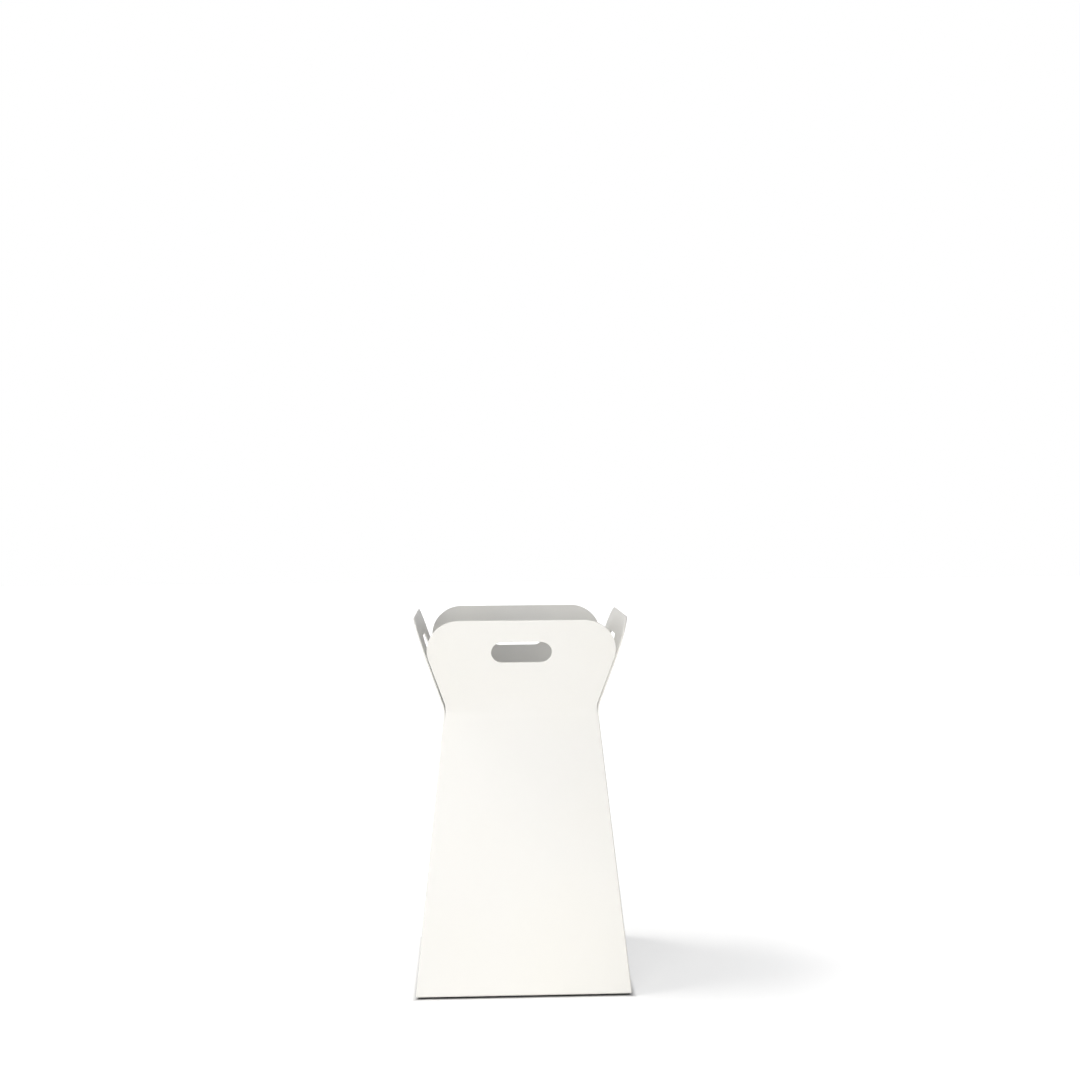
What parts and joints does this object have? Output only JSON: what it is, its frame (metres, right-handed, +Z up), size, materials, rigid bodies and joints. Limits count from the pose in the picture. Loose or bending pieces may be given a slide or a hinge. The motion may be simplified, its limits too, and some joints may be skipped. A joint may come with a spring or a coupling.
{
  "type": "planter",
  "caption": "Tall tapered square planter of folded sheet metal with outward-leaning flaps, hand holes and a lift-out liner with wire handles.",
  "frame": {"origin": "centre of the base at the level of the floor, under the feet", "axes": "+Z up, the front faces -Y, +X to the right seen from the front"},
  "size_m": [0.4032, 0.4032, 0.6977],
  "materials": {
    "white_coating": "satin off-white powder coating with a fine orange peel",
    "coated_plate": "matte off-white powder coating",
    "foot_rubber": "matte black",
    "zinc_bracket": "zinc plated, dull",
    "zinc_fastener": "zinc plated, bright",
    "galvanised_sheet": "galvanised, with spangle",
    "handle_wire": "galvanised wire, dull"
  },
  "bodies": {
    "planter": {"front_panel": "white_coating", "right_panel": "white_coating", "back_panel": "white_coating", "left_panel": "white_coating", "front_left_angle": "white_coating", "front_right_angle": "white_coating", "back_right_angle": "white_coating", "back_left_angle": "white_coating", "base_plate": "coated_plate", "feet": "foot_rubber", "foot_screws": "zinc_fastener", "foot_washers": "zinc_fastener", "foot_nuts": "zinc_fastener", "front_ledge": "zinc_bracket", "right_ledge": "zinc_bracket", "back_ledge": "zinc_bracket", "left_ledge": "zinc_bracket", "ledge_studs": "zinc_fastener", "ledge_nuts": "zinc_fastener"},
    "liner_set": {"liner": "galvanised_sheet", "left_handle_lugs": "zinc_bracket", "right_handle_lugs": "zinc_bracket", "left_lug_rivets": "zinc_fastener", "right_lug_rivets": "zinc_fastener"},
    "left_bail": {"left_handle": "handle_wire"},
    "right_bail": {"right_handle": "handle_wire"}
  },
  "joints": [
    {"name": "liner_lift", "type": "slide", "parent": "planter", "child": "liner_set", "axis": [0, 0, 1], "range_m": [0, 0.52]},
    {"name": "left_handle_swing", "type": "hinge", "parent": "liner_set", "child": "left_bail", "pos_m": [-0.11509, 0, 0.48026], "axis": [0, -1, 0], "range_deg": [0, 180]},
    {"name": "right_handle_swing", "type": "hinge", "parent": "liner_set", "child": "right_bail", "pos_m": [0.11509, 0, 0.48026], "axis": [0, 1, 0], "range_deg": [0, 180]}
  ]
}
